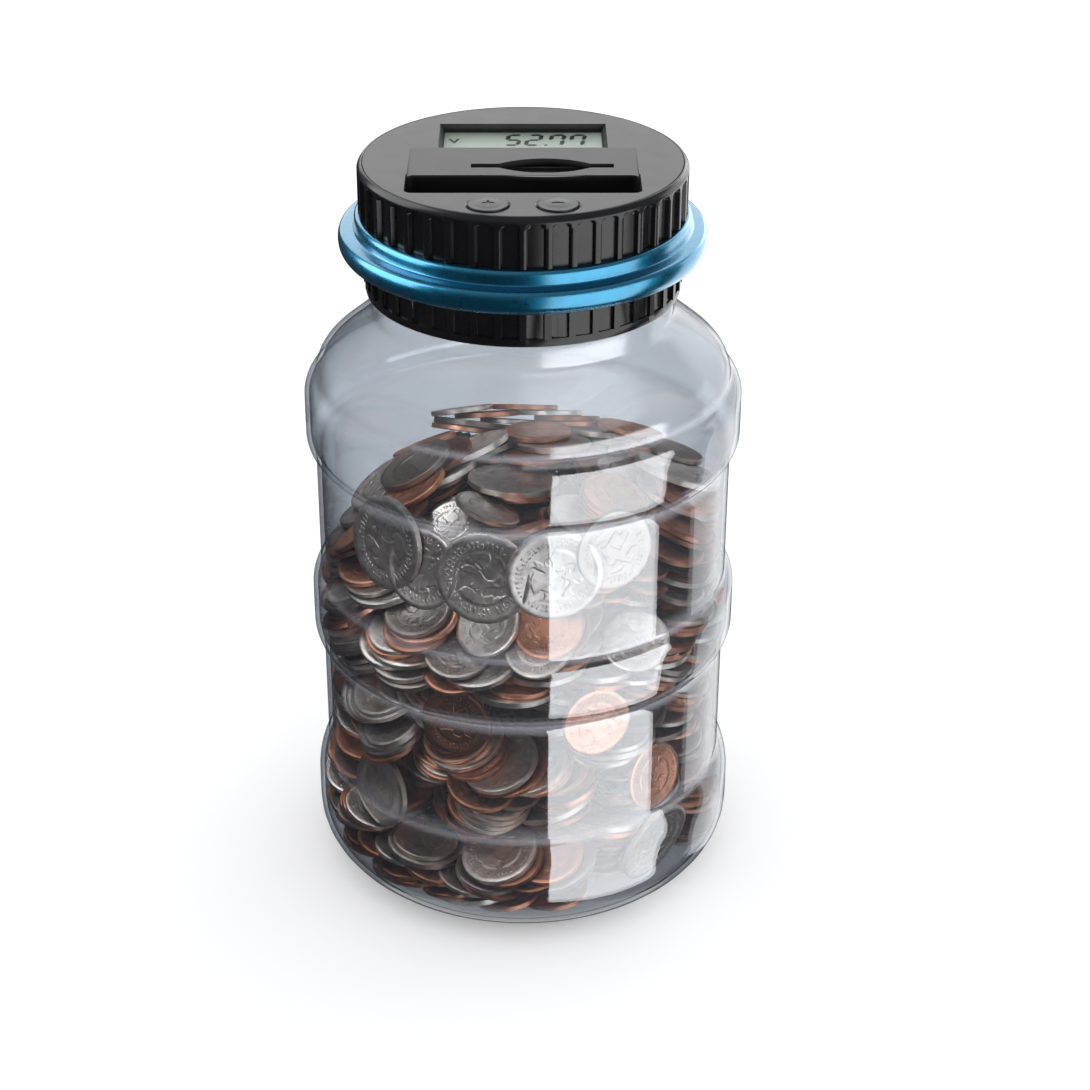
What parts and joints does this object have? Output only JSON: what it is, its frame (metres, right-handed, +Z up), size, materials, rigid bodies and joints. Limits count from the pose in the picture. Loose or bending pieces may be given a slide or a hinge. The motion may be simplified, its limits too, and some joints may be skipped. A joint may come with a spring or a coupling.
{
  "type": "coin counting jar",
  "caption": "Clear bulged jar with a ribbed screw-on lid that holds a display, a coin slit with a sprung lever, a finger well and two buttons.",
  "frame": {"origin": "centre of the round foot, on the surface that the jar stands on", "axes": "+Z up along the jar's axis, -Y to the side of the two buttons, +X to the right of a person who reads the display"},
  "size_m": [0.115, 0.115, 0.2006],
  "materials": {
    "clear_pet": "clear blown PET with a faint blue-grey tint",
    "coin_metal": "worn silver and copper coins",
    "seal_foam": "soft white foam",
    "black_gloss": "polished black ABS",
    "panel_gloss": "high-gloss black ABS",
    "blue_metal": "metallised blue, satin gloss",
    "lens_clear": "clear acrylic",
    "lcd_green": "reflective grey-green display",
    "black_matte": "fine-textured black ABS",
    "lever_grey": "satin dark grey acetal",
    "button_grey": "satin black-grey ABS",
    "zebra_rubber": "banded conductive rubber",
    "board_green": "green solder mask",
    "epoxy_black": "poured epoxy",
    "tinned_metal": "tinned metal",
    "steel": "zinc-plated steel",
    "cell_wrap": "shrink sleeve",
    "wire_red": "PVC insulation"
  },
  "bodies": {
    "jar_body": {"jar": "clear_pet", "coin_heap": "coin_metal"},
    "seal_body": {"seal_ring": "seal_foam"},
    "lid_body": {"screw_cap": "black_gloss", "trim_ring": "blue_metal", "top_cap": "black_gloss", "top_panel": "panel_gloss", "lcd_lens": "lens_clear", "lcd_glass": "lcd_green", "lcd_frame": "black_matte", "zebra_strips": "zebra_rubber", "main_board": "board_green", "chip_blob": "epoxy_black", "board_parts": "tinned_metal", "coin_sensor": "black_matte", "switch_board": "board_green", "tact_switches": "tinned_metal", "coin_chute": "black_matte", "lever_pin": "steel", "battery_tray": "black_matte", "cell_left": "cell_wrap", "cell_right": "cell_wrap", "contact_springs": "tinned_metal", "contact_plates": "tinned_metal", "cover_screws": "steel", "wires": "wire_red"},
    "plus_body": {"button_plus": "button_grey"},
    "minus_body": {"button_minus": "button_grey"},
    "lever_body": {"coin_lever": "lever_grey", "lever_spring": "steel"},
    "door_body": {"battery_door": "black_matte"}
  },
  "joints": [
    {"name": "lid_lift", "type": "slide", "parent": "jar_body", "child": "seal_body", "axis": [0, 0, 1], "range_m": [0, 0.04]},
    {"name": "lid_turn", "type": "hinge", "parent": "seal_body", "child": "lid_body", "pos_m": [0, 0, 0.18], "axis": [0, 0, 1], "range_deg": [0, 1800]},
    {"name": "plus_press", "type": "slide", "parent": "lid_body", "child": "plus_body", "axis": [0, 0, -1], "range_m": [0, 0.0008], "stiffness_N_per_m": 800},
    {"name": "minus_press", "type": "slide", "parent": "lid_body", "child": "minus_body", "axis": [0, 0, -1], "range_m": [0, 0.0008], "stiffness_N_per_m": 800},
    {"name": "lever_swing", "type": "hinge", "parent": "lid_body", "child": "lever_body", "pos_m": [0.0054, -0.0068, 0.1956], "axis": [-1, 0, 0], "range_deg": [0, 85], "stiffness_Nm_per_rad": 0.002},
    {"name": "door_swing", "type": "hinge", "parent": "lid_body", "child": "door_body", "pos_m": [0, 0.0022, 0.1815], "axis": [-1, 0, 0], "range_deg": [0, 95]}
  ],
  "couplings": [
    {"joint": "lid_lift", "follows": "lid_turn", "m_per_rad": 0.0012732}
  ]
}
